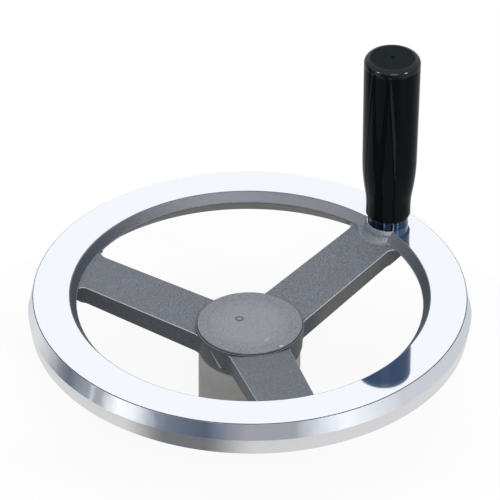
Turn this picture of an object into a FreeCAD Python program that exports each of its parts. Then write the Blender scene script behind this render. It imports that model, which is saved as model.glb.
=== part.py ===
import FreeCAD, Part
import math
import os
import Sketcher
from types import SimpleNamespace

# Machine handwheel: a dished three-spoke aluminium casting with a polished rim,
# and a revolving phenolic grip that turns on a steel spindle screwed into the rim.
# Frame: +Z is up, the origin is the centre of the hub's mounting face,
# and the spoke that carries the grip lies along +X.

# Driving sizes, in millimetres and degrees
DRIVING_SIZES = {
    # Wheel
    "wheel_radius": 100.0,  # widest radius of the rim
    "rim_plane": 62.0,  # rim's top face above the hub's mounting face
    "rim_top_inset": 2.15,  # widest radius to the top face's outer edge
    "rim_top_width": 16.55,  # width of the polished top face
    "rim_crest_drop": 7.5,  # top face down to the widest line
    "rim_foot_inset": 1.4,  # widest radius to the lower outer edge
    "rim_foot_drop": 16.3,  # top face down to the lower outer edge
    "rim_foot_break": 1.0,  # chamfer on the lower outer edge
    "rim_base_width": 8.7,  # lower outer edge inwards across the flat underside
    "rim_base_round": 2.0,  # round where the flat underside turns up to the ridge
    "rim_edge_break": 0.3,  # chamfer on the top face's two edges
    "lip_width": 3.0,  # top face's inner edge inwards to the parting ridge
    "ridge_drop": 4.2,  # top face down to the parting ridge
    "ridge_land": 0.4,  # height of the parting ridge's blunt edge
    "ridge_lap": 0.15,  # ridge stands proud of the windows' outer ends

    # Hub
    "hub_radius": 23.2,  # turned lower boss
    "hub_disc_top": 45.0,  # mounting face to the raised disc's top
    "hub_disc_height": 0.7,  # raised disc above the collar
    "hub_disc_radius": 23.8,  # raised disc
    "collar_radius": 24.6,  # collar that the spokes run into, at its top
    "collar_step": 1.6,  # height of the slope from collar to lower boss
    "collar_lap": 0.1,  # collar stands proud of the windows' inner ends
    "hub_chamfer": 1.0,  # chamfer round the mounting face
    "shaft_radius": 9.0,  # blind bore for the shaft
    "shaft_depth": 32.0,  # depth of the bore
    "shaft_chamfer": 1.0,  # chamfer at the bore's mouth
    "mark_offset": 5.6,  # casting mark from the wheel's axis
    "mark_angle": 104.8,  # direction of the casting mark from the grip's spoke
    "mark_radius": 2.1,  # outer radius of the ring-shaped mark
    "mark_core_radius": 0.95,  # core left standing inside the mark
    "mark_depth": 0.25,  # depth of the mark

    # Spokes and the windows between them
    "spoke_count": 3,  # spokes
    "spoke_hub_half": 13.8,  # half width of a spoke's top at the collar
    "spoke_rim_half": 12.75,  # half width of a spoke's top at the ridge
    "spoke_hub_depth": 10.5,  # thickness of a spoke at the collar
    "spoke_rim_depth": 9.5,  # thickness of a spoke at the ridge
    "spoke_root_lap": 7.2,  # spoke's inner end, inside the lower boss
    "spoke_tip_lap": 8.2,  # spoke's outer end beyond the ridge, inside the rim
    "blank_spare": 1.75,  # spoke before its windows are cut, beyond their round corners
    "corner_web": 0.8,  # least thickness of the windows' round corners at the rim
    "trim_spare": 0.1,  # left on a spoke's sides under the rim
    "draft_angle": 3.0,  # draft of the windows' walls, degrees
    "window_rim_round": 3.0,  # window corners at the rim
    "window_hub_round": 3.0,  # window corners at the hub
    "window_overrun": 1.0,  # windows cut on below the uncut spokes
    "spoke_edge_round": 0.4,  # round on the spokes' top edges
    "spoke_foot_round": 1.2,  # round on the spokes' lower edges

    # Handle seat on the rim
    "handle_inset": 14.0,  # widest radius in to the grip's axis
    "seat_radius": 9.9,  # top of the boss under the spindle's collar
    "seat_waist_radius": 10.5,  # boss where its flare starts
    "seat_waist_drop": 1.6,  # top face down to the start of the flare
    "seat_foot_radius": 13.2,  # boss where it runs into the spoke
    "seat_foot_drop": 5.4,  # top face down to the end of the flare
    "seat_flare": 4.2,  # round of the flare
    "seat_root_drop": 8.0,  # top face down to the boss's root inside the rim

    # Spindle and its retaining ring
    "stud_radius": 5.0,  # threaded stud, over its crests
    "stud_length": 11.0,  # stud below the collar
    "stud_chamfer": 0.8,  # chamfer at the stud's end
    "stud_clearance": 0.03,  # play between stud and tapped hole
    "flange_radius": 9.4,  # spindle's polished collar
    "flange_height": 4.1,  # height of that collar
    "flange_chamfer": 0.35,  # edge break of that collar
    "journal_radius": 5.0,  # plain part that the grip turns on
    "journal_length": 68.0,  # plain part above the collar
    "journal_chamfer": 1.2,  # lead-in at the spindle's end
    "ring_setback": 8.0,  # spindle's end back to the middle of the retaining ring
    "ring_width": 1.0,  # retaining ring across its band
    "ring_thickness": 1.2,  # retaining ring along the spindle
    "ring_bed": 0.65,  # depth of the spindle's groove
    "ring_play": 0.05,  # play of the ring in its groove
    "ring_opening": 30.0,  # gap of the split ring, degrees

    # Grip
    "end_float": 0.2,  # grip above the spindle's collar
    "running_play": 0.05,  # play between grip and journal
    "grip_cap": 14.8,  # grip's end above its bore
    "grip_neck_radius": 10.3,  # neck of the grip
    "grip_neck_top": 9.3,  # rim's top face to the end of the neck
    "grip_neck_sweep": 46.0,  # hollow round above the neck
    "grip_waist_radius": 12.5,  # grip where its shoulder ends
    "grip_waist_top": 34.5,  # rim's top face to the end of the shoulder
    "grip_head_radius": 12.92,  # grip at its top
    "grip_head_round": 3.0,  # round on the top edge
    "grip_foot_chamfer": 0.9,  # chamfer on the foot
    "grip_bore_spare": 2.0,  # bore beyond the spindle's end
    "grip_ring_play": 0.3,  # room round the ring in the grip's groove
    "dimple_radius": 1.4,  # moulded dimple in the grip's top
    "dimple_depth": 0.6,  # depth of that dimple
}


class Size:
    """A value that also carries its formula on the sheet."""

    def __init__(self, value, formula):
        self.value = value
        self.formula = formula

    def __add__(self, other):
        return Size(self.value + value_of(other), f"({self.formula} + {formula_of(other)})")

    def __sub__(self, other):
        return Size(self.value - value_of(other), f"({self.formula} - {formula_of(other)})")

    def __mul__(self, other):
        return Size(self.value * value_of(other), f"({self.formula} * {formula_of(other)})")

    def __truediv__(self, other):
        return Size(self.value / value_of(other), f"({self.formula} / {formula_of(other)})")


def value_of(size):
    return size.value if isinstance(size, Size) else size


def formula_of(size):
    return size.formula if isinstance(size, Size) else str(size)


def tangent(angle):
    return Size(math.tan(math.radians(angle.value)), f"tan({angle.formula} * 1 deg)")


document = FreeCAD.newDocument("machine_handwheel")
sheet = document.addObject("Spreadsheet::Sheet", "Sizes")
given = SimpleNamespace()
for row, (name, value) in enumerate(DRIVING_SIZES.items(), start=1):
    sheet.set(f"A{row}", name)
    sheet.set(f"B{row}", str(value))
    sheet.setAlias(f"B{row}", name)
    setattr(given, name, Size(value, f"Sizes.{name}"))
document.recompute()

# Heights and radii that follow from the driving sizes
rim_top_outer = given.wheel_radius - given.rim_top_inset
rim_top_inner = rim_top_outer - given.rim_top_width
ridge_radius = rim_top_inner - given.lip_width
ridge_height = given.rim_plane - given.ridge_drop
collar_top = given.hub_disc_top - given.hub_disc_height
collar_foot = collar_top - given.spoke_hub_depth
spoke_span = ridge_radius - given.collar_radius
top_slope = (ridge_height - collar_top) / spoke_span
underside_slope = (ridge_height - given.spoke_rim_depth - collar_foot) / spoke_span
draft = tangent(given.draft_angle)
window_depth_at_hub = given.rim_plane - collar_top
handle_radius = given.wheel_radius - given.handle_inset


# Drawing helpers

def origin_feature(body, role):
    for feature in body.Origin.OriginFeatures:
        if feature.Role == role:
            return feature
    raise ValueError(f"{body.Label} has no {role}")


def new_body(label):
    body = document.addObject("PartDesign::Body", label)
    body.Label = label
    return body


def new_sketch(body, name, role, height=None):
    sketch = body.newObject("Sketcher::SketchObject", name)
    sketch.AttachmentSupport = (origin_feature(body, role), [""])
    sketch.MapMode = "FlatFace"
    if height is not None:
        sketch.setExpression(".AttachmentOffset.Base.z", height.formula)
    return sketch


def tie(sketch, constraint, size):
    """Add a constraint and bind it to its formula when it has one."""
    index = sketch.addConstraint(constraint)
    if isinstance(size, Size):
        sketch.setExpression(f"Constraints[{index}]", size.formula)


def pin(sketch, geometry, end, x, y):
    """Hold one end of a line or arc at (x, y)."""
    for axis, kind, place in ((-2, "DistanceX", x), (-1, "DistanceY", y)):
        if isinstance(place, Size):
            tie(sketch, Sketcher.Constraint(kind, -1, 1, geometry, end, place.value), place)
        else:
            sketch.addConstraint(Sketcher.Constraint("PointOnObject", geometry, end, axis))


def arc_between(start, stop, radius):
    """Arc from start to stop; a positive radius has its centre on the left of that way."""
    chord = stop - start
    half = chord.Length / 2
    normal = FreeCAD.Vector(-chord.y, chord.x, 0).normalize()
    rise = math.sqrt(radius * radius - half * half)
    centre = start + chord * 0.5 + normal * math.copysign(rise, radius)
    turn = [math.atan2(end.y - centre.y, end.x - centre.x) for end in (start, stop)]
    if radius < 0:
        turn.reverse()
    circle = Part.Circle(centre, FreeCAD.Vector(0, 0, 1), abs(radius))
    return Part.ArcOfCircle(circle, turn[0], turn[1])


def draw_outline(sketch, corners):
    """A closed outline: each corner is (x, y), or (x, y, radius) when an arc leads to it."""
    points = [FreeCAD.Vector(value_of(corner[0]), value_of(corner[1]), 0) for corner in corners]
    ends = []
    for index, corner in enumerate(corners):
        before = points[index - 1]
        here = points[index]
        if len(corner) == 3:
            radius = corner[2].value
            geometry = sketch.addGeometry(arc_between(before, here, radius), False)
            size = corner[2] if radius > 0 else corner[2] * -1
            tie(sketch, Sketcher.Constraint("Radius", geometry, size.value), size)
            ends.append((geometry, 1, 2) if radius > 0 else (geometry, 2, 1))
        else:
            ends.append((sketch.addGeometry(Part.LineSegment(before, here), False), 1, 2))
    for index, corner in enumerate(corners):
        geometry, _, last = ends[index]
        following, first, _ = ends[(index + 1) % len(ends)]
        sketch.addConstraint(Sketcher.Constraint("Coincident", geometry, last, following, first))
        pin(sketch, geometry, last, corner[0], corner[1])


def revolve(body, name, sketch, axis="V_Axis", angle=None):
    feature = body.newObject("PartDesign::Revolution", name)
    feature.Profile = sketch
    feature.ReferenceAxis = (sketch, [axis])
    feature.Angle = 360.0
    if angle is not None:
        feature.setExpression("Angle", angle.formula)
    return feature


def polar_pattern(body, name, features, count):
    """Repeat features evenly round the wheel's axis."""
    pattern = body.newObject("PartDesign::PolarPattern", name)
    pattern.Originals = features
    pattern.Axis = (origin_feature(body, "Z_Axis"), [""])
    pattern.Angle = 360.0
    pattern.setExpression("Occurrences", count.formula)
    body.Tip = pattern
    document.recompute()


def dress(body, name, kind, size_name, size, base, chosen):
    """A fillet or chamfer of one size on the edges of the base that pass the test."""
    numbered = enumerate(base.Shape.Edges, start=1)
    edges = [f"Edge{index}" for index, edge in numbered if chosen(edge)]
    feature = body.newObject(f"PartDesign::{kind}", name)
    feature.Base = (base, edges)
    feature.setExpression(size_name, size.formula)
    body.Tip = feature
    document.recompute()
    return feature


def is_ring(edge, radius, height):
    """A full or partial circle round the body's axis, of this radius at this height."""
    if not isinstance(edge.Curve, Part.Circle):
        return False
    centre = edge.Curve.Center
    on_axis = math.hypot(centre.x, centre.y) < 1e-4
    return on_axis and abs(edge.Curve.Radius - radius) < 1e-4 and abs(centre.z - height) < 1e-4


# Wheel casting, one piece: each spoke is first cast too wide, and the drafted windows then
# give the spokes their straight sides and round corners

casting = new_body("wheel_casting")

boss_section = new_sketch(casting, "boss_section", "XZ_Plane")
draw_outline(boss_section, [
    (0, 0),
    (given.hub_radius - given.hub_chamfer, 0),
    (given.hub_radius, given.hub_chamfer),
    (given.hub_radius, collar_top),
    (0, collar_top),
])
revolve(casting, "hub_boss", boss_section)

spoke_side = new_sketch(casting, "spoke_side_view", "XZ_Plane")
blank_start = given.hub_radius - given.spoke_root_lap
blank_stop = ridge_radius + given.spoke_tip_lap
blank_half = given.spoke_rim_half + given.window_rim_round + given.blank_spare


def spoke_corners(reach):
    """Underside and top of a spoke at this reach; both rise with the dish."""
    beyond_collar = reach - given.collar_radius
    return collar_foot + underside_slope * beyond_collar, collar_top + top_slope * beyond_collar


inner_low, inner_high = spoke_corners(blank_start)
outer_low, outer_high = spoke_corners(blank_stop)
draw_outline(spoke_side, [
    (blank_start, inner_low),
    (blank_stop, outer_low),
    (blank_stop, outer_high),
    (blank_start, inner_high),
])
blank = casting.newObject("PartDesign::Pad", "spoke_blank")
blank.Profile = spoke_side
blank.Midplane = True
blank.setExpression("Length", (blank_half * 2).formula)
document.recompute()
polar_pattern(casting, "spoke_blanks", [blank], given.spoke_count)

# Under the rim a spoke keeps its own straight sides: the spare metal beside them is trimmed
# away below a thin web, which the windows' corners are rounded in
trim_start = ridge_radius - given.window_rim_round * 1.6
trim_stop = blank_stop + given.window_overrun
trim_edge = blank_half + given.window_overrun
trim_height = spoke_corners(trim_start)[1] - given.corner_web


def trimmed_half(reach):
    """Half width that is left of a spoke at this reach, at the height of the trimming."""
    hub_half = given.spoke_hub_half - draft * (collar_top - trim_height)
    rim_half = given.spoke_rim_half - draft * (ridge_height - trim_height)
    way_out = (reach - given.collar_radius) / spoke_span
    return hub_half + (rim_half - hub_half) * way_out + given.trim_spare


def cut(name, sketch, length, taper=None, reverse=False):
    """Pocket of this length from a sketch in the casting; a taper widens it on its way."""
    pocket = casting.newObject("PartDesign::Pocket", name)
    pocket.Profile = sketch
    pocket.Type = "Length"
    pocket.Reversed = reverse
    pocket.setExpression("Length", length.formula)
    if taper is not None:
        pocket.setExpression("TaperAngle", taper.formula)
    document.recompute()
    return pocket


trims = []
for name, side in (("left", 1), ("right", -1)):
    trim_plan = new_sketch(casting, f"{name}_trim_plan", "XY_Plane", trim_height)
    draw_outline(trim_plan, [
        (trim_start, trimmed_half(trim_start) * side),
        (trim_stop, trimmed_half(trim_stop) * side),
        (trim_stop, trim_edge * side),
        (trim_start, trim_edge * side),
    ])
    trim_depth = trim_height - inner_low + given.window_overrun
    trims.append(cut(f"{name}_trim", trim_plan, trim_depth, given.draft_angle))
polar_pattern(casting, "trims", trims, given.spoke_count)


def window_corner(line_point, line_angle, reach, round_radius):
    """Centre of a corner round that touches a spoke's side and lies at this reach."""
    along = FreeCAD.Vector(math.cos(line_angle), math.sin(line_angle), 0)
    across = FreeCAD.Vector(-along.y, along.x, 0)
    start = line_point + across * round_radius
    travel = -start.dot(along) + math.sqrt(start.dot(along) ** 2 - start.dot(start) + reach ** 2)
    return start + along * travel, start + along * travel - across * round_radius


def draw_window(sketch):
    """Outline of one window in the plane of the rim's top face."""
    hub_reach = given.collar_radius + draft * window_depth_at_hub - given.collar_lap
    rim_reach = ridge_radius - draft * given.ridge_drop
    hub_half = given.spoke_hub_half + draft * window_depth_at_hub
    rim_half = given.spoke_rim_half + draft * given.ridge_drop
    side_start = FreeCAD.Vector(given.collar_radius.value, hub_half.value, 0)
    side_stop = FreeCAD.Vector(ridge_radius.value, rim_half.value, 0)
    side_angle = math.atan2(side_stop.y - side_start.y, side_stop.x - side_start.x)
    rim_round = given.window_rim_round.value
    hub_round = given.window_hub_round.value
    rim_centre, rim_touch = window_corner(side_start, side_angle, rim_reach.value - rim_round, rim_round)
    hub_centre, hub_touch = window_corner(side_start, side_angle, hub_reach.value + hub_round, hub_round)
    rim_end = rim_centre * (rim_reach.value / rim_centre.Length)
    hub_end = hub_centre * (hub_reach.value / hub_centre.Length)
    pitch = 2 * math.pi / given.spoke_count.value

    def mirrored(point):
        angle = pitch - math.atan2(point.y, point.x)
        return FreeCAD.Vector(point.Length * math.cos(angle), point.Length * math.sin(angle), 0)

    def arc(start, stop, radius):
        return sketch.addGeometry(arc_between(start, stop, radius), False)

    side = sketch.addGeometry(Part.LineSegment(hub_touch, rim_touch), False)
    corner = arc(rim_touch, rim_end, rim_round)
    outer = arc(rim_end, mirrored(rim_end), rim_reach.value)
    far_corner = arc(mirrored(rim_end), mirrored(rim_touch), rim_round)
    far_side = sketch.addGeometry(Part.LineSegment(mirrored(rim_touch), mirrored(hub_touch)), False)
    far_root = arc(mirrored(hub_touch), mirrored(hub_end), hub_round)
    inner = arc(mirrored(hub_end), hub_end, -hub_reach.value)
    root = arc(hub_end, hub_touch, hub_round)

    loop = [(side, 1, 2), (corner, 1, 2), (outer, 1, 2), (far_corner, 1, 2),
            (far_side, 1, 2), (far_root, 1, 2), (inner, 2, 1), (root, 1, 2)]
    for index, (geometry, _, last) in enumerate(loop):
        following, first, _ = loop[(index + 1) % len(loop)]
        sketch.addConstraint(Sketcher.Constraint("Tangent", geometry, last, following, first))
    for geometry, size in ((outer, rim_reach), (inner, hub_reach)):
        sketch.addConstraint(Sketcher.Constraint("Coincident", geometry, 3, -1, 1))
        tie(sketch, Sketcher.Constraint("Radius", geometry, size.value), size)
    tie(sketch, Sketcher.Constraint("Radius", corner, rim_round), given.window_rim_round)
    tie(sketch, Sketcher.Constraint("Radius", root, hub_round), given.window_hub_round)
    sketch.addConstraint(Sketcher.Constraint("Equal", corner, far_corner))
    sketch.addConstraint(Sketcher.Constraint("Equal", root, far_root))
    for point, x, y in ((side_start, given.collar_radius, hub_half), (side_stop, ridge_radius, rim_half)):
        guide = sketch.addGeometry(Part.Point(point), True)
        sketch.addConstraint(Sketcher.Constraint("PointOnObject", guide, 1, side))
        pin(sketch, guide, 1, x, y)
    middle = FreeCAD.Vector(math.cos(pitch / 2), math.sin(pitch / 2), 0) * rim_reach.value
    mirror = sketch.addGeometry(Part.LineSegment(FreeCAD.Vector(), middle), True)
    sketch.addConstraint(Sketcher.Constraint("Coincident", mirror, 1, -1, 1))
    sketch.addConstraint(Sketcher.Constraint("PointOnObject", mirror, 2, outer))
    half_pitch = Size(pitch / 2, f"(180 deg / {given.spoke_count.formula})")
    tie(sketch, Sketcher.Constraint("Angle", mirror, half_pitch.value), half_pitch)
    sketch.addConstraint(Sketcher.Constraint("Symmetric", side, 1, far_side, 2, mirror))


window_plan = new_sketch(casting, "window_plan", "XY_Plane", given.rim_plane)
draw_window(window_plan)
document.recompute()
window_depth = given.rim_plane - inner_low + given.window_overrun
window = cut("window", window_plan, window_depth, given.draft_angle)
polar_pattern(casting, "windows", [window], given.spoke_count)


def is_spoke_edge(height_at_collar, slope):
    """Test for the long straight edges of the spokes' sloping tops or undersides."""
    pitch = 2 * math.pi / given.spoke_count.value

    def is_on_slope(point):
        angle = math.atan2(point.y, point.x)
        reach = math.hypot(point.x, point.y) * math.cos(angle - pitch * round(angle / pitch))
        height = height_at_collar.value + slope.value * (reach - given.collar_radius.value)
        return abs(point.z - height) < 1e-3

    def test(edge):
        if not isinstance(edge.Curve, Part.Line) or edge.Length < spoke_span.value / 2:
            return False
        return all(is_on_slope(vertex.Point) for vertex in edge.Vertexes)
    return test


is_top_edge = is_spoke_edge(collar_top, top_slope)
dress(casting, "spoke_top_round", "Fillet", "Radius", given.spoke_edge_round, casting.Tip, is_top_edge)

# The rim covers the spokes' outer ends
rim_section = new_sketch(casting, "rim_section", "XZ_Plane")
lap_radius = ridge_radius - given.ridge_lap
lip_slope = given.lip_width / given.ridge_drop
lap_height = given.rim_plane - (rim_top_inner - lap_radius) / lip_slope
upper_band_slope = given.rim_top_inset / given.rim_crest_drop
lower_band_slope = given.rim_foot_inset / (given.rim_foot_drop - given.rim_crest_drop)
rim_foot = given.rim_plane - given.rim_foot_drop
rim_foot_radius = given.wheel_radius - given.rim_foot_inset
rim_base_inner = rim_foot_radius - given.rim_base_width
draw_outline(rim_section, [
    (rim_top_inner + given.rim_edge_break, given.rim_plane),
    (rim_top_inner - lip_slope * given.rim_edge_break, given.rim_plane - given.rim_edge_break),
    (lap_radius, lap_height),
    (lap_radius, lap_height - given.ridge_land),
    (rim_base_inner, rim_foot),
    (rim_foot_radius - given.rim_foot_break, rim_foot),
    (rim_foot_radius + lower_band_slope * given.rim_foot_break, rim_foot + given.rim_foot_break),
    (given.wheel_radius, given.rim_plane - given.rim_crest_drop),
    (rim_top_outer + upper_band_slope * given.rim_edge_break, given.rim_plane - given.rim_edge_break),
    (rim_top_outer - given.rim_edge_break, given.rim_plane),
])
rim = revolve(casting, "rim", rim_section)
document.recompute()


def is_rim_base(edge):
    return is_ring(edge, rim_base_inner.value, rim_foot.value)


dress(casting, "rim_base_round", "Fillet", "Radius", given.rim_base_round, rim, is_rim_base)


# The lower boss is turned clean, a little way into the foot of the collar that follows
slope_foot = collar_foot - given.collar_step
collar_foot_radius = given.collar_radius - draft * given.spoke_hub_depth
boss_cut = new_sketch(casting, "boss_cut", "XZ_Plane")
draw_outline(boss_cut, [
    (given.hub_radius, inner_low - given.window_overrun),
    (collar_foot_radius, inner_low - given.window_overrun),
    (collar_foot_radius, collar_foot + given.collar_step),
    (given.hub_radius, collar_foot + given.collar_step),
])
turning = casting.newObject("PartDesign::Groove", "boss_turning")
turning.Profile = boss_cut
turning.ReferenceAxis = (boss_cut, ["V_Axis"])
turning.Angle = 360.0

# The collar and the raised disc come after the windows, and cover their inner ends
collar_section = new_sketch(casting, "collar_section", "XZ_Plane")
draw_outline(collar_section, [
    (0, slope_foot),
    (given.hub_radius, slope_foot),
    (collar_foot_radius, collar_foot),
    (given.collar_radius, collar_top),
    (given.hub_disc_radius, collar_top),
    (given.hub_disc_radius, given.hub_disc_top),
    (0, given.hub_disc_top),
])
collar = revolve(casting, "hub_collar", collar_section)
document.recompute()


is_foot_edge = is_spoke_edge(collar_foot, underside_slope)
dress(casting, "spoke_foot_fillet", "Fillet", "Radius", given.spoke_foot_round, collar, is_foot_edge)

# The boss that the spindle's collar seats on flares out of the rim and the spoke
seat_section = new_sketch(casting, "seat_section", "XZ_Plane")
seat_waist = handle_radius + given.seat_waist_radius
draw_outline(seat_section, [
    (handle_radius, given.rim_plane - given.seat_root_drop),
    (handle_radius + given.seat_foot_radius, given.rim_plane - given.seat_root_drop),
    (handle_radius + given.seat_foot_radius, given.rim_plane - given.seat_foot_drop),
    (seat_waist, given.rim_plane - given.seat_waist_drop, given.seat_flare * -1),
    (handle_radius + given.seat_radius, given.rim_plane - given.rim_edge_break),
    (handle_radius + given.seat_radius - given.rim_edge_break, given.rim_plane),
    (handle_radius, given.rim_plane),
])
seat_axis = seat_section.addGeometry(Part.LineSegment(
    FreeCAD.Vector(handle_radius.value, 0, 0),
    FreeCAD.Vector(handle_radius.value, given.rim_plane.value, 0)), True)
pin(seat_section, seat_axis, 1, handle_radius, 0)
pin(seat_section, seat_axis, 2, handle_radius, given.rim_plane)
revolve(casting, "handle_seat", seat_section, "Axis0")
document.recompute()


def cut_round(name, height, circles, depth, upwards=False):
    """Cut a round hole, or the ring between two circles, down from a plane or up from it."""
    sketch = new_sketch(casting, f"{name}_plan", "XY_Plane", height)
    for x, y, radius in circles:
        circle = Part.Circle(
            FreeCAD.Vector(value_of(x), value_of(y), 0), FreeCAD.Vector(0, 0, 1), radius.value)
        geometry = sketch.addGeometry(circle, False)
        tie(sketch, Sketcher.Constraint("Radius", geometry, radius.value), radius)
        pin(sketch, geometry, 3, x, y)
    return cut(name, sketch, depth, reverse=upwards)


stud_hole_radius = given.stud_radius + given.stud_clearance
cut_round("stud_hole", given.rim_plane, [(handle_radius, 0, stud_hole_radius)],
          given.rim_plane - collar_foot)
mark_turn = math.radians(given.mark_angle.value)
mark_x = Size(given.mark_offset.value * math.cos(mark_turn),
              f"({given.mark_offset.formula} * cos({given.mark_angle.formula} * 1 deg))")
mark_y = Size(given.mark_offset.value * math.sin(mark_turn),
              f"({given.mark_offset.formula} * sin({given.mark_angle.formula} * 1 deg))")
cut_round("casting_mark", given.hub_disc_top,
          [(mark_x, mark_y, given.mark_radius), (mark_x, mark_y, given.mark_core_radius)], given.mark_depth)
shaft_bore = cut_round("shaft_bore", None, [(0, 0, given.shaft_radius)], given.shaft_depth, upwards=True)


def is_bore_mouth(edge):
    return is_ring(edge, given.shaft_radius.value, 0)


dress(casting, "shaft_lead_in", "Chamfer", "Size", given.shaft_chamfer, shaft_bore, is_bore_mouth)


def turned_body(label, height):
    """A body turned about the grip's axis, drawn from this height above the rim's top face."""
    body = new_body(label)
    body.setExpression(".Placement.Base.x", handle_radius.formula)
    body.setExpression(".Placement.Base.z", height.formula)
    return body


# Spindle: one turned steel piece, a stud screwed into the casting, a polished collar and the
# plain journal with a groove for the ring; drawn from the collar's seat
spindle = turned_body("handle_spindle", given.rim_plane)
spindle_section = new_sketch(spindle, "spindle_section", "XZ_Plane")
journal_end = given.flange_height + given.journal_length
ring_centre = journal_end - given.ring_setback
groove_half = given.ring_thickness / 2 + given.ring_play
groove_floor = given.journal_radius - given.ring_bed
draw_outline(spindle_section, [
    (0, given.stud_length * -1),
    (given.stud_radius - given.stud_chamfer, given.stud_length * -1),
    (given.stud_radius, given.stud_chamfer - given.stud_length),
    (given.stud_radius, 0),
    (given.flange_radius - given.flange_chamfer, 0),
    (given.flange_radius, given.flange_chamfer),
    (given.flange_radius, given.flange_height - given.flange_chamfer),
    (given.flange_radius - given.flange_chamfer, given.flange_height),
    (given.journal_radius, given.flange_height),
    (given.journal_radius, ring_centre - groove_half),
    (groove_floor, ring_centre - groove_half),
    (groove_floor, ring_centre + groove_half),
    (given.journal_radius, ring_centre + groove_half),
    (given.journal_radius, journal_end - given.journal_chamfer),
    (given.journal_radius - given.journal_chamfer, journal_end),
    (0, journal_end),
])
revolve(spindle, "spindle_turning", spindle_section)

# Retaining ring: a split spring ring of rectangular section that sits in the spindle's groove
ring = turned_body("retaining_ring", given.rim_plane + ring_centre)
ring_section = new_sketch(ring, "ring_section", "XZ_Plane")
ring_inner = groove_floor + given.ring_play
ring_outer = ring_inner + given.ring_width
draw_outline(ring_section, [
    (ring_inner, given.ring_thickness / -2),
    (ring_outer, given.ring_thickness / -2),
    (ring_outer, given.ring_thickness / 2),
    (ring_inner, given.ring_thickness / 2),
])
revolve(ring, "split_ring", ring_section, angle=(given.ring_opening - 360) * -1)

# Grip: a phenolic moulding with a slender neck, a swept shoulder and a flat end; its blind
# bore turns on the journal and snaps over the ring; drawn from the rim's top face
grip = turned_body("grip", given.rim_plane)
grip_section = new_sketch(grip, "grip_section", "XZ_Plane")
grip_foot = given.flange_height + given.end_float
bore_radius = given.journal_radius + given.running_play
recess_radius = ring_outer + given.grip_ring_play
recess_half = given.ring_thickness / 2 + given.grip_ring_play
bore_end = journal_end + given.grip_bore_spare
grip_top = bore_end + given.grip_cap


def draw_grip(sketch):
    """Inner outline pinned to the spindle; outer outline of two arcs that meet smoothly."""
    corners = [
        (0, grip_top - given.dimple_depth),
        (0, bore_end),
        (bore_radius, bore_end),
        (bore_radius, ring_centre + recess_half),
        (recess_radius, ring_centre + recess_half),
        (recess_radius, ring_centre - recess_half),
        (bore_radius, ring_centre - recess_half),
        (bore_radius, grip_foot),
        (given.grip_neck_radius, grip_foot),
        (given.grip_neck_radius, given.grip_neck_top),
    ]
    tops = [
        (given.grip_waist_radius, given.grip_waist_top),
        (given.grip_head_radius, grip_top),
        (given.dimple_radius, grip_top),
    ]

    def point(corner):
        return FreeCAD.Vector(value_of(corner[0]), value_of(corner[1]), 0)

    def chain(stops):
        lines = []
        for start, stop in zip(stops, stops[1:]):
            line = sketch.addGeometry(Part.LineSegment(point(start), point(stop)), False)
            pin(sketch, line, 1, start[0], start[1])
            if lines:
                sketch.addConstraint(Sketcher.Constraint("Coincident", lines[-1], 2, line, 1))
            lines.append(line)
        pin(sketch, lines[-1], 2, stops[-1][0], stops[-1][1])
        return lines

    inner = chain(corners)
    outer = chain(tops)
    dimple = sketch.addGeometry(Part.LineSegment(point(tops[-1]), point(corners[0])), False)
    sketch.addConstraint(Sketcher.Constraint("Coincident", outer[-1], 2, dimple, 1))
    sketch.addConstraint(Sketcher.Constraint("Coincident", dimple, 2, inner[0], 1))

    neck_end = point(corners[-1])
    waist = point(tops[0])
    turn = 2 * math.atan2(waist.x - neck_end.x, waist.y - neck_end.y)
    sweep = given.grip_neck_sweep.value
    meeting = neck_end + FreeCAD.Vector(sweep * (1 - math.cos(turn)), sweep * math.sin(turn), 0)
    shoulder_sweep = (waist.y - meeting.y) / math.sin(turn)
    hollow = sketch.addGeometry(arc_between(neck_end, meeting, -sweep), False)
    shoulder = sketch.addGeometry(arc_between(meeting, waist, shoulder_sweep), False)
    tie(sketch, Sketcher.Constraint("Radius", hollow, sweep), given.grip_neck_sweep)
    sketch.addConstraint(Sketcher.Constraint("Tangent", inner[-1], 2, hollow, 2))
    sketch.addConstraint(Sketcher.Constraint("Tangent", hollow, 1, shoulder, 1))
    sketch.addConstraint(Sketcher.Constraint("Tangent", shoulder, 2, outer[0], 1))


draw_grip(grip_section)
moulding = revolve(grip, "grip_moulding", grip_section)
document.recompute()


def is_grip_head(edge):
    return is_ring(edge, given.grip_head_radius.value, grip_top.value)


def is_grip_foot(edge):
    return is_ring(edge, given.grip_neck_radius.value, grip_foot.value)


headed = dress(grip, "grip_head_round", "Fillet", "Radius", given.grip_head_round, moulding, is_grip_head)
dress(grip, "grip_foot_chamfer", "Chamfer", "Size", given.grip_foot_chamfer, headed, is_grip_foot)
document.recompute()


# Nothing is written unless every object and every solid came out whole

for item in document.Objects:
    if "Invalid" in item.State or "Error" in item.State:
        raise RuntimeError(f"{item.Name} failed")
    if item.isDerivedFrom("Sketcher::SketchObject") and not item.FullyConstrained:
        raise RuntimeError(f"{item.Name} is loose")
    if item.isDerivedFrom("PartDesign::Pocket") or item.isDerivedFrom("PartDesign::Groove"):
        if item.Shape.Volume >= item.BaseFeature.Shape.Volume:
            raise RuntimeError(f"{item.Name} cut nothing")

os.makedirs("parts", exist_ok=True)
for body in (casting, spindle, ring, grip):
    if body.Shape.isNull() or not body.Shape.isValid() or len(body.Shape.Solids) != 1:
        raise RuntimeError(f"{body.Label} is not one sound solid")
    body.Shape.exportStep(f"parts/{body.Label}.step")
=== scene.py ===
import bpy
from math import cos, pi, radians, sin
from mathutils import Matrix, Vector

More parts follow.
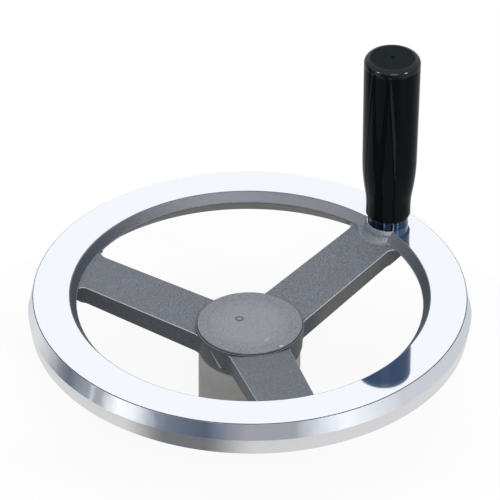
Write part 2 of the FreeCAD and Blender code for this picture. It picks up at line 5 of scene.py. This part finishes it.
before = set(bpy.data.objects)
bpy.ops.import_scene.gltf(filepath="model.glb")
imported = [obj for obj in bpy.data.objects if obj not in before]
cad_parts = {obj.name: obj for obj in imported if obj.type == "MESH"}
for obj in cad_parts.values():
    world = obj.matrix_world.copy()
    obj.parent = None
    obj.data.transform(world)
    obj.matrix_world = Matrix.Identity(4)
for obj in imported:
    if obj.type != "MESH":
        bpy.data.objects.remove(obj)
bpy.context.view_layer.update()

# Wheel casting
# One sand casting in aluminium, left matt where it isn't machined. The rim is turned afterwards:
# its flat top and upper band are polished like a mirror, and its lower band keeps a satin finish.
# The hub's disc is faced, and the boss below the collar is turned.


class Finish:
    """An output of a material's nodes, so that a finish can be written as sums of what makes it."""

    def __init__(self, tree, output=None):
        self.tree = tree
        self.output = output

    def node(self, kind, settings=None, sockets=None, give=0):
        """Adds a node: first its settings, a ramp's stops among them, then its sockets' values or links."""
        made = self.tree.nodes.new(kind)
        for name, value in (settings or {}).items():
            if name == "stops":
                ramp = made.color_ramp
                while len(ramp.elements) < len(value):
                    ramp.elements.new(0.5)
                for element, (spot, colour) in zip(ramp.elements, value):
                    element.position = spot
                    element.color = colour
            else:
                setattr(made, name, value)
        for name, value in (sockets or {}).items():
            if isinstance(value, Finish):
                self.tree.links.new(value.output, made.inputs[name])
            else:
                made.inputs[name].default_value = value
        return Finish(self.tree, made.outputs[give])

    def maths(self, operation, first, second=0.0):
        """A Math node on two numbers that vary."""
        return self.node("ShaderNodeMath", {"operation": operation}, {0: first, 1: second})

    def __add__(self, other):
        return self.maths("ADD", self, other)

    def __radd__(self, other):
        return self.maths("ADD", other, self)

    def __sub__(self, other):
        return self.maths("SUBTRACT", self, other)

    def __rsub__(self, other):
        return self.maths("SUBTRACT", other, self)

    def __mul__(self, other):
        return self.maths("MULTIPLY", self, other)

    def __rmul__(self, other):
        return self.maths("MULTIPLY", other, self)

    def __pow__(self, other):
        return self.maths("POWER", self, other)

    def above(self, edge, blend=0.00005):
        """1 where this is above the edge, 0 below it, with a soft change of that width."""
        return self.node(
            "ShaderNodeMapRange",
            {"interpolation_type": "SMOOTHSTEP"},
            {"Value": self, "From Min": edge - blend / 2, "From Max": edge + blend / 2},
        )

    def below(self, edge, blend=0.00005):
        """1 where this is below the edge, 0 above it."""
        return 1.0 - self.above(edge, blend)

    def near(self, middle, reach, blend=0.00005):
        """1 within that reach of the middle value, 0 further off."""
        return self.maths("ABSOLUTE", self - middle).below(reach, blend)

    def part(self, axis):
        """This vector's x, y or z."""
        return self.node("ShaderNodeSeparateXYZ", None, {"Vector": self}, give=axis)

    def distance(self, point):
        """How far this place is from the point."""
        return self.node("ShaderNodeVectorMath", {"operation": "DISTANCE"}, {0: self, 1: point}, give=1)

    def colour(self, without, with_it):
        """Colour that goes from the first to the second as this goes from 0 to 1."""
        return self.node(
            "ShaderNodeMix",
            {"data_type": "RGBA"},
            {0: self, 6: without, 7: with_it},
            give=2,
        )

    def noise(self, scale, detail=2.0, roughness=0.5):
        """Grain of that many waves to the metre, at this place."""
        return self.node(
            "ShaderNodeTexNoise",
            None,
            {"Vector": self, "Scale": scale, "Detail": detail, "Roughness": roughness},
        )

    def bump(self, strength, depth):
        """The surface's normal once this relief is on it."""
        return self.node("ShaderNodeBump", None, {"Strength": strength, "Distance": depth, "Height": self})

    def show_on(self, material):
        """Makes this shader the material's surface."""
        self.tree.links.new(self.output, material.node_tree.nodes["Material Output"].inputs["Surface"])


def new_finish(name):
    """A new material, with its shader and the place on the object to paint it by."""
    material = bpy.data.materials.new(name)
    material.use_nodes = True
    place = Finish(material.node_tree).node("ShaderNodeTexCoord", give=3)
    return material, material.node_tree.nodes["Principled BSDF"], place


def feed(shader, **sockets):
    """Links what changes over a surface, and sets what doesn't, on the shader's own sockets."""
    for name, value in sockets.items():
        socket = shader.inputs[name.replace("_", " ").title().replace("Ior", "IOR")]
        if isinstance(value, Finish):
            value.tree.links.new(value.output, socket)
        else:
            socket.default_value = value


def dress(node, material):
    """Gives a node of the frame its material."""
    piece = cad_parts[node]
    piece.data.materials.clear()
    piece.data.materials.append(material)


# Heights and radii of the casting, in metres. A hair is the width of a fine line on it.
RIM_TOP = 0.062
RIM_CREST = 0.0545
LOWER_BAND_FOOT = 0.0465
BAND_INNER_RADIUS = 0.0974
RIDGE_RADIUS = 0.0783
LIP_OUTER_RADIUS = 0.0815
SPOKE_INNER_RADIUS = 0.0247
SPOKE_OUTER_RADIUS = 0.0777
DISC_TOP = 0.045
COLLAR_TOP = 0.0443
COLLAR_FOOT = 0.0338
DISC_RADIUS = 0.0238
SCRIBED_RADIUS = 0.019
BOSS_RADIUS = 0.0232
BOSS_SHADOW_EDGE = COLLAR_FOOT - 0.0026
HANDLE_RADIUS = 0.086
SEAT_FOOT_RADIUS = 0.0135
SEAT_FOOT = 0.0555
HAIR = 0.0001

# Waves to the metre.
CAST_GRAIN = 1900.0
CAST_FINE_GRAIN = 4200.0
CAST_MOTTLE = 110.0
TURNING_MARKS = 5200.0
POLISHING_WAVES = 55.0

# Bright knocks in the disc and its edge, and a scratch down the collar: place, reach and weight.
KNOCKS = [
    ((-0.0016, -0.0225, 0.0450), 0.0007, 0.9),
    ((-0.0008, -0.0228, 0.0449), 0.0005, 1.0),
    ((-0.0036, -0.0149, 0.0450), 0.0009, 0.25),
    ((-0.0024, -0.0146, 0.0450), 0.0010, 0.3),
]
SCRATCH_START = Vector((-0.0244, -0.0012, 0.0412))
SCRATCH_STOP = Vector((-0.0236, -0.0060, 0.0348))
SCRATCH_SPOTS = 10
SCRATCH_REACH = 0.00035
SCRATCH_WIDENING = 0.00003
SCRATCH_WEIGHT = 0.4
for spot in range(SCRATCH_SPOTS):
    middle = SCRATCH_START.lerp(SCRATCH_STOP, spot / (SCRATCH_SPOTS - 1))
    KNOCKS.append((tuple(middle), SCRATCH_REACH + spot * SCRATCH_WIDENING, SCRATCH_WEIGHT))

CAST_LIGHT = (0.29, 0.315, 0.36, 1.0)
CAST_DARK = (0.085, 0.092, 0.11, 1.0)
CAST_BROWN = (0.19, 0.172, 0.16, 1.0)
CAST_WALL_SHADE = (0.04, 0.045, 0.052, 1.0)
CAST_WALL_LIT = (0.125, 0.125, 0.122, 1.0)
LIP_BRIGHT = (0.27, 0.275, 0.31, 1.0)
LIP_DARK = (0.06, 0.072, 0.092, 1.0)
CAST_UNDERSIDE = (0.085, 0.085, 0.074, 1.0)
BOSS_TURNED = (0.37, 0.375, 0.355, 1.0)
DISC_FACED = (0.37, 0.375, 0.41, 1.0)
SEAT_PAINTED_LIGHT = (0.56, 0.57, 0.61, 1.0)
BRIGHT_WEAR_AND_HIGHLIGHT = (0.55, 0.57, 0.61, 1.0)
SHADOW_LINE = (0.03, 0.033, 0.038, 1.0)
POLISHED = (0.985, 0.985, 0.965, 1.0)
SATIN = (0.725, 0.72, 0.735, 1.0)
SATIN_DARK = (0.11, 0.12, 0.13, 1.0)

CAST_METALLIC = 0.5
CAST_ROUGHNESS = 0.6
DISC_ROUGHNESS = 0.52
SATIN_ROUGHNESS = 0.3
POLISHED_ROUGHNESS = 0.02

# A little blue laid over the polish as a diffuse layer, a painted tint of its reflections, which shows
# where it mirrors something dark.
POLISH_REFLECTION_TINT = (0.3, 0.5, 1.0, 1.0)
REFLECTION_TINT_ON_TOP = 0.12
REFLECTION_TINT_ON_BAND = 0.05

# Light and dark painted into the colour by direction, because the soft lamps don't make them: the
# lip is lightest at this turn and opposite it, the handle's seat is lighter on this side, and the
# satin band is dark along this stretch.
LIP_LIGHTEST_TURN = radians(38.0)
SEAT_LIGHT_SIDE = (0.74, -0.67)
DARK_STRETCH_TURN = radians(-149.0)
DARK_STRETCH_REACH = radians(11.5)
DARK_STRETCH_BLEND = radians(14.0)

cast_aluminium, shader, place = new_finish("cast_aluminium")
normal = place.node("ShaderNodeTexCoord", give=1)
across, along, height = place.part(0), place.part(1), place.part(2)
radius = (across * across + along * along) ** 0.5
from_handle = ((across - HANDLE_RADIUS) ** 2.0 + along * along) ** 0.5
facing_up = normal.part(2)
turn = place.maths("ARCTAN2", along, across)
grain = place.noise(CAST_GRAIN, 3.0, 0.7)
fine_grain = place.noise(CAST_FINE_GRAIN, 2.0, 0.6)
mottle = place.noise(CAST_MOTTLE, 3.0, 0.6)
round_place = place.node("ShaderNodeCombineXYZ", None, {0: radius, 1: height})
turning_lines = round_place.noise(TURNING_MARKS, 2.0, 0.7)

# Where each surface of the casting is.
polished_top = height.above(RIM_TOP - 0.4 * HAIR)
outer_side = radius.above(BAND_INNER_RADIUS)
upper_band = outer_side * height.above(RIM_CREST) * height.below(RIM_TOP - 3 * HAIR)
lower_band = outer_side * height.below(RIM_CREST) * height.above(LOWER_BAND_FOOT)
edge_line = outer_side * height.near(RIM_TOP - 1.5 * HAIR, 1.2 * HAIR, HAIR)
polished = place.maths("MAXIMUM", polished_top, upper_band)
machined = place.maths("MAXIMUM", polished, lower_band)
lip = radius.above(RIDGE_RADIUS + HAIR) * radius.below(LIP_OUTER_RADIUS) * facing_up.near(0.58, 0.15)

disc = height.above(DISC_TOP - 2 * HAIR) * radius.below(DISC_RADIUS - 2 * HAIR)
disc_middle = radius.below(0.016, 0.014)
disc_foot = radius.near(DISC_RADIUS + HAIR, 1.2 * HAIR, HAIR) * height.near(COLLAR_TOP, 3 * HAIR)
disc_rim = radius.near(DISC_RADIUS - HAIR, 0.6 * HAIR, HAIR) * height.above(DISC_TOP - HAIR)
disc_wall = radius.near(DISC_RADIUS, 2 * HAIR) * height.above(COLLAR_TOP - HAIR)
scribed_circle = disc * radius.near(SCRIBED_RADIUS, 0.8 * HAIR, 2 * HAIR) * mottle.above(0.47, 0.12)
# The turned colour stops 2.6 mm below the collar's foot, so the dark of the cast walls above it is painted
# shadow under the collar.
turned_boss = radius.below(BOSS_RADIUS + 2 * HAIR) * height.below(BOSS_SHADOW_EDGE, 0.0016)

seat = from_handle.below(SEAT_FOOT_RADIUS) * height.above(SEAT_FOOT)
spokes = radius.below(SPOKE_OUTER_RADIUS) * radius.above(SPOKE_INNER_RADIUS)
edge_highlight_and_wear = spokes * from_handle.above(SEAT_FOOT_RADIUS) * facing_up.near(0.62, 0.3, 0.1)
wall = facing_up.below(0.3, 0.3) * (1.0 - seat) * (1.0 - disc_wall)
lit_side_wall = wall * across.above(0.03, 0.012) * height.above(0.034)

# The colour, from the bare casting to the finest marks, with painted shade and painted light on some faces.
cast = (grain * 0.6 + fine_grain * 0.6 - 0.1).above(0.5, 0.3).colour(CAST_DARK, CAST_LIGHT)
cast = (mottle.above(0.55, 0.2) * 0.22).colour(cast, CAST_BROWN)
# Steep walls are painted darker than the tops, as painted shade.
cast = (wall * (1.1 - grain * 0.5)).colour(cast, CAST_WALL_SHADE)
# Walls on the +X side, by the grip's spoke, are painted lighter instead, as painted light.
cast = (lit_side_wall * (1.0 - grain * 0.3)).colour(cast, CAST_WALL_LIT)
lip_side = place.maths("SINE", turn - LIP_LIGHTEST_TURN) ** 2.0
lip_tone = (lip_side + grain * 0.9 - 0.45).above(0.5, 1.0).colour(LIP_BRIGHT, LIP_DARK)
cast = (lip * 0.95).colour(cast, lip_tone)
# Painted light on the handle's seat: lighter towards SEAT_LIGHT_SIDE, broken up by the grain.
seat_facing = normal.part(0) * SEAT_LIGHT_SIDE[0] + normal.part(1) * SEAT_LIGHT_SIDE[1]
seat_side = seat_facing.above(-0.1, 0.8) * 0.95 + 0.05
seat_light_amount = seat * facing_up.above(0.25, 0.2) * (grain * 0.8 + 0.2) * seat_side
cast = seat_light_amount.colour(cast, SEAT_PAINTED_LIGHT)
cast = (facing_up.below(-0.2, 0.2) * 0.8).colour(cast, CAST_UNDERSIDE)
cast = (turned_boss * (1.05 - mottle * 0.35 - fine_grain * 0.15)).colour(cast, BOSS_TURNED)
cast = (disc * (grain * 1.1 + disc_middle * 0.3 - 0.12)).colour(cast, DISC_FACED)
# The spokes' rounded top edges get a painted highlight, and some wear there, broken up by the grain.
cast = (edge_highlight_and_wear * (grain + 0.3)).colour(cast, BRIGHT_WEAR_AND_HIGHLIGHT)
cast = (disc_foot * 0.95 + disc_rim * 0.5 + scribed_circle * 0.5).colour(cast, SHADOW_LINE)
for middle, reach, weight in KNOCKS:
    cast = (place.distance(middle).below(reach, reach) * weight).colour(cast, BRIGHT_WEAR_AND_HIGHLIGHT)
dark_stretch = turn.near(DARK_STRETCH_TURN, DARK_STRETCH_REACH, DARK_STRETCH_BLEND)
satin_tone = dark_stretch * 0.8 + turning_lines * 0.1 + fine_grain * 0.14 - 0.03
colour = lower_band.colour(cast, satin_tone.colour(SATIN, SATIN_DARK))
colour = polished.colour(colour, POLISHED)
colour = (edge_line * 0.8).colour(colour, SHADOW_LINE)

roughness = CAST_ROUGHNESS - lower_band * (CAST_ROUGHNESS - SATIN_ROUGHNESS)
roughness = roughness - polished * (CAST_ROUGHNESS - POLISHED_ROUGHNESS)
roughness = roughness - disc * (CAST_ROUGHNESS - DISC_ROUGHNESS) + turning_lines * machined * 0.02
waviness = place.noise(POLISHING_WAVES, 2.0, 0.5) * upper_band * 1.6
relief = (grain + fine_grain * 0.6) * (1.0 - machined) + waviness
feed(
    shader,
    base_color=colour,
    metallic=machined * (1.0 - CAST_METALLIC) + CAST_METALLIC,
    roughness=roughness,
    normal=relief.bump(0.5, 0.0003),
)
metal = Finish(cast_aluminium.node_tree, shader.outputs[0])
# A diffuse blue mixed over the polish, as a painted tint of its reflections.
reflection_tint = place.node("ShaderNodeBsdfDiffuse", None, {"Color": POLISH_REFLECTION_TINT})
reflection_tint_share = polished_top * REFLECTION_TINT_ON_TOP + upper_band * REFLECTION_TINT_ON_BAND
surface = place.node("ShaderNodeMixShader", None, {0: reflection_tint_share, 1: metal, 2: reflection_tint})
surface.show_on(cast_aluminium)
dress("wheel_casting", cast_aluminium)

# Spindle of the handle
# Turned steel with a dark bluish chrome plating; the darkness is partly the plating's own and partly a
# painted reflection, and its light streaks are painted reflections. Its stud is screwed into the rim, and
# its collar shows between the rim's boss and the grip.

CHROME_DARK = (0.012, 0.026, 0.05, 1.0)
CHROME_REFLECTION_LIGHT = (0.3, 0.4, 0.55, 1.0)
REFLECTION_STREAKS_ROUND = 14.0
REFLECTION_STREAK_TURN = radians(-118.5)
REFLECTION_STREAK_GROUPS = 3.0
REFLECTION_GROUP_TURN = radians(-131.0)
LATHE_MARKS = 6000.0

dark_chrome, shader, place = new_finish("dark_chrome")
across, along, height = place.part(0) - HANDLE_RADIUS, place.part(1), place.part(2)
turn = place.maths("ARCTAN2", along, across)
# Painted reflections: light streaks around the collar, gathered in three groups around it, on the dark
# plating.
reflection_streak = place.maths("COSINE", (turn - REFLECTION_STREAK_TURN) * REFLECTION_STREAKS_ROUND).above(0.9, 0.2)
reflection_group = place.maths("COSINE", (turn - REFLECTION_GROUP_TURN) * REFLECTION_STREAK_GROUPS).above(0.55, 0.6)
turning_lines = place.node("ShaderNodeCombineXYZ", None, {2: height}).noise(LATHE_MARKS, 2.0, 0.5)
feed(
    shader,
    base_color=(reflection_streak * (reflection_group * 0.55 + 0.1)).colour(CHROME_DARK, CHROME_REFLECTION_LIGHT),
    metallic=1.0,
    roughness=0.08 + turning_lines * 0.08,
    normal=turning_lines.bump(0.05, 0.0001),
)
dress("handle_spindle", dark_chrome)

# Retaining ring
# A split ring of spring steel in the spindle's groove. It snaps into the grip's bore and
# keeps the grip on.

SPRING_STEEL_LIGHT = (0.36, 0.36, 0.37, 1.0)
SPRING_STEEL_DARK = (0.25, 0.25, 0.27, 1.0)
SCALE_MARKS = 1500.0

spring_steel, shader, place = new_finish("spring_steel")
scale_marks = place.noise(SCALE_MARKS, 2.0, 0.6)
feed(
    shader,
    base_color=scale_marks.colour(SPRING_STEEL_DARK, SPRING_STEEL_LIGHT),
    metallic=1.0,
    roughness=0.3 + scale_marks * 0.15,
)
dress("retaining_ring", spring_steel)

# Grip
# A black phenolic moulding, glossy from its mould, with a finely grained flat end. It turns on
# the spindle. Its reflectance is set low, because these surroundings are much whiter than a
# workshop, and a coat brings the highlights back on its rounded end.

PHENOLIC = (0.0024, 0.004, 0.0047, 1.0)
PHENOLIC_GRAIN = (0.011, 0.019, 0.025, 1.0)
PHENOLIC_REFLECTANCE = 0.045
GRIP_TOP = 0.1509
GRIP_LAND_RADIUS = 0.0098
GRIP_ROUND_HEIGHT = 0.0035
END_GRAIN = 2600.0
MOULD_FLOW = 45.0

phenolic, shader, place = new_finish("phenolic")
across, along, height = place.part(0) - HANDLE_RADIUS, place.part(1), place.part(2)
from_axis = (across * across + along * along) ** 0.5
end_face = height.above(GRIP_TOP - HAIR, HAIR) * from_axis.below(GRIP_LAND_RADIUS, 6 * HAIR)
past_land = from_axis.above(GRIP_LAND_RADIUS + 4 * HAIR, 8 * HAIR)
rounded_end = height.above(GRIP_TOP - GRIP_ROUND_HEIGHT, 0.002) * past_land
end_grain = place.noise(END_GRAIN, 3.0, 0.7)
flow = place.noise(MOULD_FLOW, 2.0, 0.5)
end_tone = end_face * (end_grain.above(0.53, 0.2) * 0.8 + 0.1)
feed(
    shader,
    base_color=end_tone.colour(PHENOLIC, PHENOLIC_GRAIN),
    roughness=0.03 + flow * 0.03 + end_face * (0.3 + end_grain * 0.15),
    specular_ior_level=PHENOLIC_REFLECTANCE,
    coat_weight=rounded_end * 0.55,
    coat_roughness=0.06,
    normal=(end_grain * end_face + flow * 0.3).bump(0.3, 0.0001),
)
dress("grip", phenolic)

# Table and surroundings
# A round white table before a softbox and two smaller lamps, in a white room. The camera and the
# metal see the table mostly as plain white, and the rest of it is lit, so that it keeps the shadow.

TABLE_RADIUS = 0.155
TABLE_DROP = 0.0002
TABLE_WHITE = (0.96, 0.96, 0.96, 1.0)
BACKGROUND_WHITE = (1.0, 1.0, 1.0, 1.0)
BACKGROUND_SHARE = 0.88

bpy.ops.object.select_all(action="DESELECT")
bpy.ops.mesh.primitive_circle_add(
    vertices=128, radius=TABLE_RADIUS, fill_type="NGON", location=(0.0, 0.0, -TABLE_DROP)
)
table = bpy.context.object
table.name = "table"
table_white, shader, place = new_finish("table_white")
feed(shader, base_color=TABLE_WHITE, roughness=0.9)
seen = place.node("ShaderNodeLightPath", give=0)
mirrored = place.node("ShaderNodeLightPath", give=3)
lit = Finish(table_white.node_tree, shader.outputs[0])
white = place.node("ShaderNodeEmission", None, {"Color": BACKGROUND_WHITE, "Strength": 1.0})
white_share = (seen + mirrored) * BACKGROUND_SHARE
surface = place.node("ShaderNodeMixShader", None, {0: white_share, 1: lit, 2: white})
surface.show_on(table_white)
table.data.materials.append(table_white)

# The room's walls as the metal mirrors them, once around, starting opposite the +X axis. Their tones
# were set until the polished band was dark and bright where the photo's is. Only mirrored
# rays that run low meet them. Higher up, mirrored rays meet the white ceiling.
ROOM_WALLS = [
    (0.00, (0.42, 0.46, 0.52, 1.0)),
    (0.01, (0.23, 0.26, 0.31, 1.0)),
    (0.02, (0.16, 0.19, 0.24, 1.0)),
    (0.05, (0.11, 0.13, 0.16, 1.0)),
    (0.075, (0.085, 0.10, 0.13, 1.0)),
    (0.10, (0.20, 0.22, 0.27, 1.0)),
    (0.13, (0.35, 0.34, 0.37, 1.0)),
    (0.19, (0.34, 0.35, 0.38, 1.0)),
    (0.23, (0.75, 0.78, 0.86, 1.0)),
    (0.26, (0.98, 1.00, 1.05, 1.0)),
    (0.30, (0.80, 0.83, 0.88, 1.0)),
    (0.35, (0.60, 0.61, 0.65, 1.0)),
    (0.60, (0.62, 0.63, 0.66, 1.0)),
    (0.77, (0.74, 0.74, 0.76, 1.0)),
    (0.81, (0.55, 0.55, 0.57, 1.0)),
    (0.84, (0.24, 0.25, 0.27, 1.0)),
    (0.862, (0.13, 0.15, 0.18, 1.0)),
    (0.892, (0.26, 0.29, 0.33, 1.0)),
    (0.901, (0.29, 0.32, 0.36, 1.0)),
    (0.907, (0.62, 0.63, 0.68, 1.0)),
    (0.913, (0.33, 0.35, 0.40, 1.0)),
    (0.925, (0.38, 0.40, 0.45, 1.0)),
    (0.95, (1.05, 1.05, 1.05, 1.0)),
    (0.975, (0.92, 0.95, 1.0, 1.0)),
    (1.00, (0.42, 0.46, 0.52, 1.0)),
]
CEILING_WHITE = (1.0, 1.005, 1.015, 1.0)
CEILING_STARTS = 0.25
CEILING_BLEND = 0.3
LIGHT_LOW = (0.52, 0.53, 0.55, 1.0)
LIGHT_HIGH = (0.86, 0.86, 0.86, 1.0)

world = bpy.data.worlds.new("white_room")
bpy.context.scene.world = world
world.use_nodes = True
room = world.node_tree.nodes["Background"]
direction = Finish(world.node_tree).node("ShaderNodeTexCoord", give=0)
across, along, height = direction.part(0), direction.part(1), direction.part(2)
turn = direction.maths("ARCTAN2", along, across) * (0.5 / pi) + 0.5
walls = direction.node("ShaderNodeValToRGB", {"stops": ROOM_WALLS}, {"Fac": turn})
mirrored_room = height.above(CEILING_STARTS, CEILING_BLEND).colour(walls, CEILING_WHITE)
soft_light = height.maths("ABSOLUTE", height).above(0.5, 1.0).colour(LIGHT_LOW, LIGHT_HIGH)
seen = direction.node("ShaderNodeLightPath", give=0)
mirrored = direction.node("ShaderNodeLightPath", give=3)
shown = seen.colour(mirrored.colour(soft_light, mirrored_room), BACKGROUND_WHITE)
world.node_tree.links.new(shown.output, room.inputs["Color"])
room.inputs["Strength"].default_value = 1.0

wheel_centre = Vector((0.0, 0.0, RIM_TOP))


def hang_lamp(name, place, size, power):
    """A round lamp that looks at the wheel."""
    bpy.ops.object.select_all(action="DESELECT")
    bpy.ops.object.light_add(type="AREA", location=place)
    lamp = bpy.context.object
    lamp.name = name
    lamp.data.shape = "DISK"
    lamp.data.size = size
    lamp.data.energy = power
    lamp.rotation_euler = (wheel_centre - lamp.location).to_track_quat("-Z", "Y").to_euler()


hang_lamp("softbox", (-0.85, -1.35, 1.35), size=1.0, power=7.0)
hang_lamp("left_lamp", (-1.29, 0.29, 0.75), size=0.3, power=3.5)
hang_lamp("right_lamp", (0.40, -1.26, 0.75), size=0.3, power=5.0)

# Camera
# Far off with a long lens, looking down on the wheel with the grip at the back right.

AZIMUTH = radians(-42.55)
ELEVATION = radians(35.5525)
DISTANCE = 1.93853
PITCH_UP = radians(0.56303)
YAW = radians(0.0038)
ROLL = radians(0.43549)
LENS = 309.805
SENSOR_WIDTH = 36.0

camera_data = bpy.data.cameras.new("camera")
camera_data.lens = LENS
camera_data.sensor_width = SENSOR_WIDTH
camera = bpy.data.objects.new("camera", camera_data)
bpy.context.scene.collection.objects.link(camera)
away = Vector((sin(AZIMUTH) * cos(ELEVATION), -cos(AZIMUTH) * cos(ELEVATION), sin(ELEVATION)))
aim = (
    Matrix.Rotation(AZIMUTH, 4, "Z")
    @ Matrix.Rotation(radians(90.0) - ELEVATION, 4, "X")
    @ Matrix.Rotation(PITCH_UP, 4, "X")
    @ Matrix.Rotation(YAW, 4, "Y")
    @ Matrix.Rotation(ROLL, 4, "Z")
)
camera.matrix_world = Matrix.Translation(wheel_centre + away * DISTANCE) @ aim
bpy.context.scene.camera = camera
bpy.context.scene.view_settings.view_transform = "Standard"
